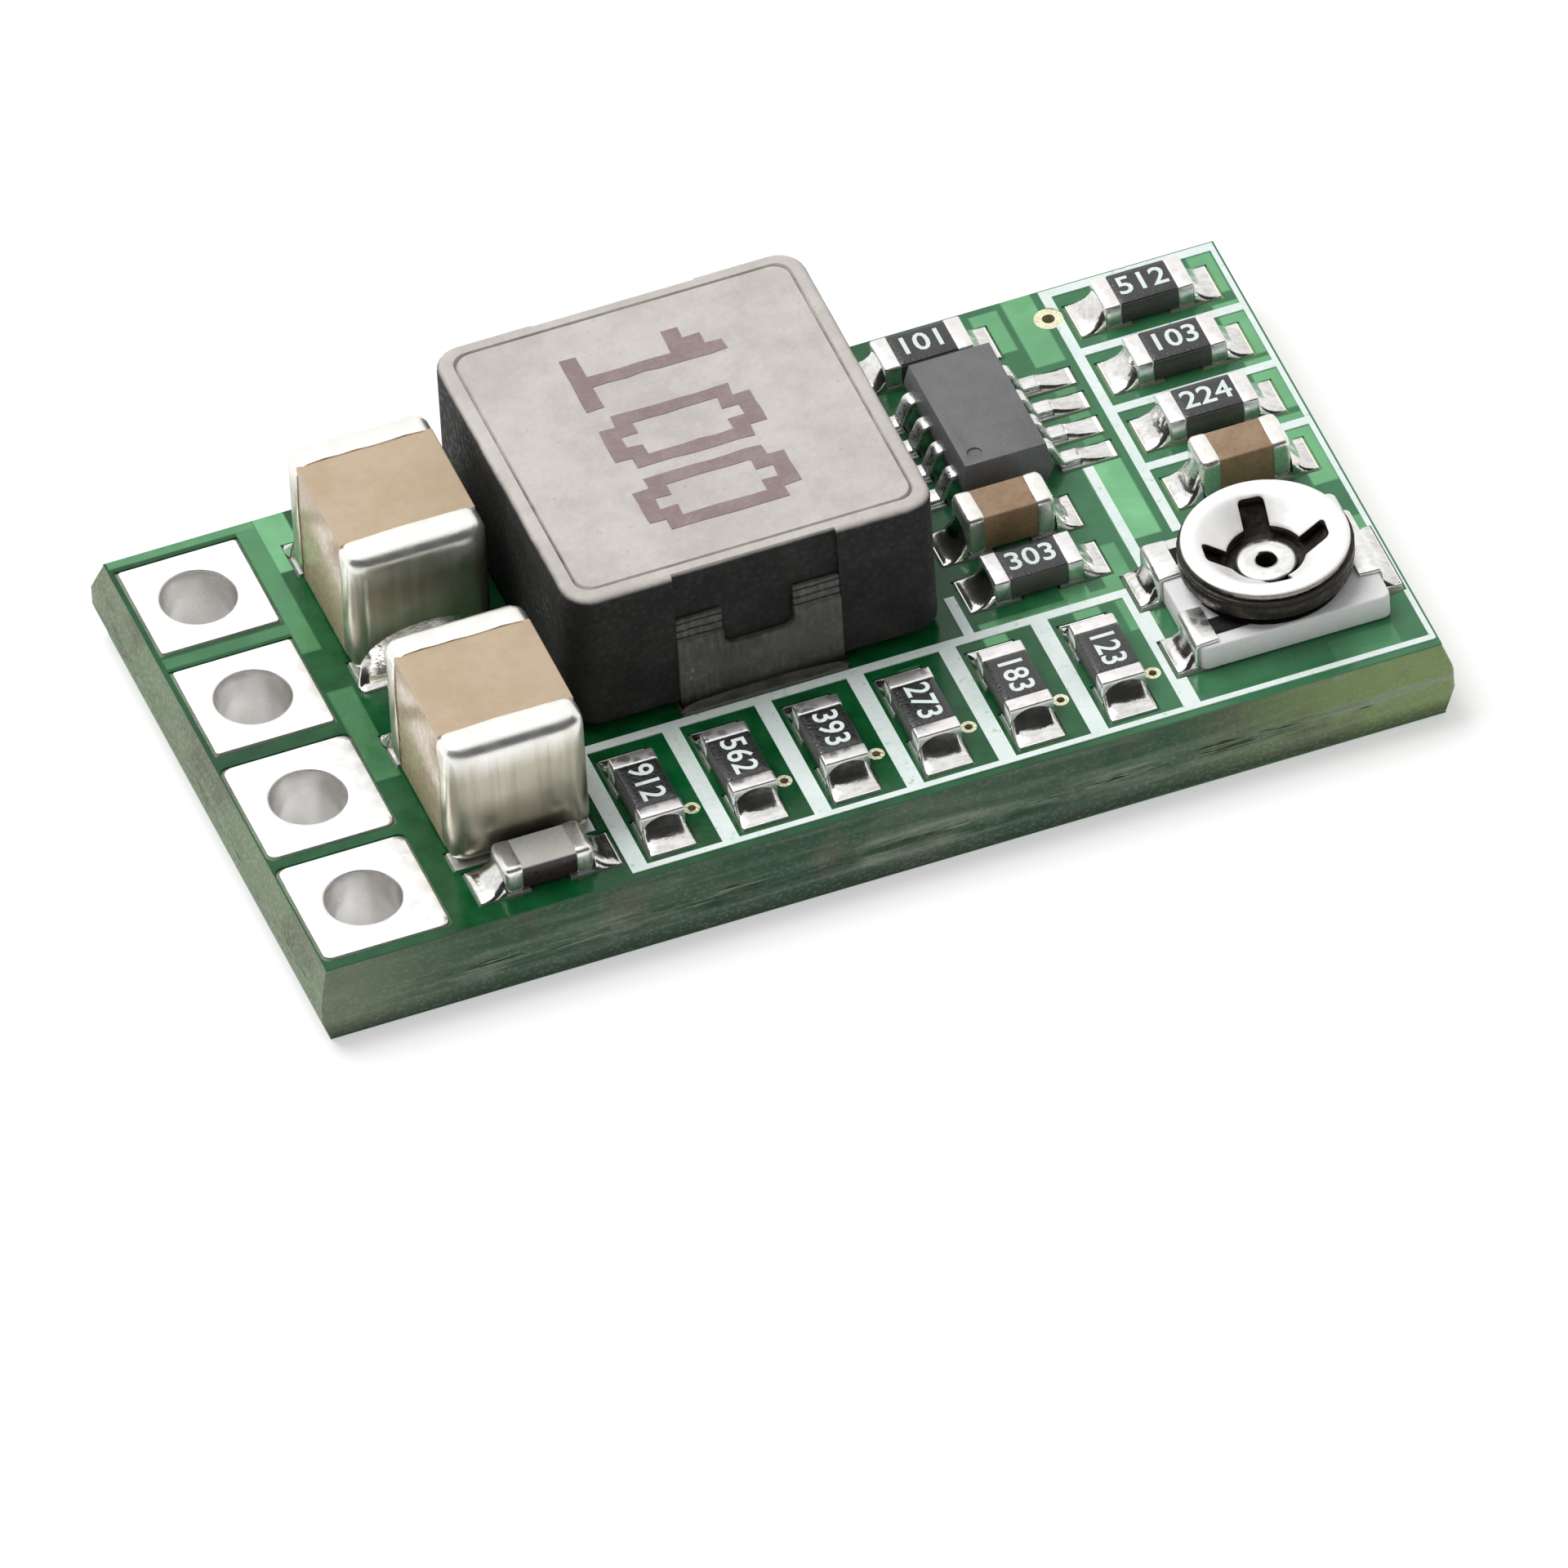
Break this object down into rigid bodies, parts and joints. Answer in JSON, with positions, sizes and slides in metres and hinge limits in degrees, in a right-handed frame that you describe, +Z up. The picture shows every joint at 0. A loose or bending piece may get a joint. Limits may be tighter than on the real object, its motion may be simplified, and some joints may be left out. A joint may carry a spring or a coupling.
{
  "type": "buck converter module",
  "caption": "Small step-down converter board with a moulded inductor, chip capacitors and resistors, a converter chip and an open trimmer that turns.",
  "frame": {"origin": "middle of the underside of the board", "axes": "+X from the pin holes to the trimmer end, +Y to the long side with the inductor, +Z up from the board's parts side"},
  "size_m": [0.0202, 0.011, 0.0046],
  "materials": {
    "laminate": "matte",
    "solder_mask": "gloss",
    "white_print": "matte",
    "tinned_pad": "satin",
    "via_ring": "satin",
    "inductor_moulding": "matte",
    "copper_winding": "satin",
    "tinned_terminal": "satin",
    "pale_ceramic": "satin",
    "brown_ceramic": "satin",
    "dark_ceramic": "satin",
    "silver_cap": "satin",
    "chip_epoxy": "matte",
    "tinned_lead": "satin",
    "resistor_glass": "gloss",
    "resistor_plating": "satin",
    "solder": "gloss",
    "trimmer_ceramic": "matte",
    "track_carbon": "matte",
    "trimmer_clip": "satin",
    "rotor_steel": "satin"
  },
  "bodies": {
    "board": {"circuit_board": "laminate", "solder_mask_top": "solder_mask", "solder_mask_bottom": "solder_mask", "printed_lines": "white_print", "board_pin_pad_1": "tinned_pad", "board_pin_pad_2": "tinned_pad", "board_pin_pad_3": "tinned_pad", "board_pin_pad_4": "tinned_pad", "component_lands": "tinned_pad", "selector_bridges": "tinned_pad", "via_barrels": "via_ring", "inductor_block": "inductor_moulding", "inductor_winding": "copper_winding", "inductor_terminal_front": "tinned_terminal", "inductor_terminal_rear": "tinned_terminal", "rear_capacitor_body": "pale_ceramic", "rear_capacitor_ends": "silver_cap", "front_capacitor_body": "pale_ceramic", "front_capacitor_ends": "silver_cap", "bypass_capacitor_body": "dark_ceramic", "bypass_capacitor_ends": "silver_cap", "boost_capacitor_body": "brown_ceramic", "boost_capacitor_ends": "silver_cap", "divider_capacitor_body": "brown_ceramic", "divider_capacitor_ends": "silver_cap", "converter_chip_body": "chip_epoxy", "converter_chip_leads": "tinned_lead", "selector_resistor_1": "resistor_glass", "selector_resistor_2": "resistor_glass", "selector_resistor_3": "resistor_glass", "selector_resistor_4": "resistor_glass", "selector_resistor_5": "resistor_glass", "selector_resistor_6": "resistor_glass", "selector_resistor_1_ends": "resistor_plating", "selector_resistor_2_ends": "resistor_plating", "selector_resistor_3_ends": "resistor_plating", "selector_resistor_4_ends": "resistor_plating", "selector_resistor_5_ends": "resistor_plating", "selector_resistor_6_ends": "resistor_plating", "supply_resistor": "resistor_glass", "supply_resistor_ends": "resistor_plating", "sense_resistor": "resistor_glass", "sense_resistor_ends": "resistor_plating", "divider_resistor_1": "resistor_glass", "divider_resistor_1_ends": "resistor_plating", "divider_resistor_2": "resistor_glass", "divider_resistor_2_ends": "resistor_plating", "divider_resistor_3": "resistor_glass", "divider_resistor_3_ends": "resistor_plating", "chip_solder": "solder", "power_solder": "solder", "trimmer_base": "trimmer_ceramic", "trimmer_track": "track_carbon", "trimmer_clips": "trimmer_clip", "trimmer_eyelet": "trimmer_clip"},
    "rotor": {"trimmer_rotor": "rotor_steel", "trimmer_wiper": "rotor_steel"}
  },
  "joints": [
    {"name": "trimmer_turn", "type": "hinge", "parent": "board", "child": "rotor", "pos_m": [0.0077, -0.00308, 0.0024], "axis": [0, 0, 1], "range_deg": [-115, 115]}
  ]
}
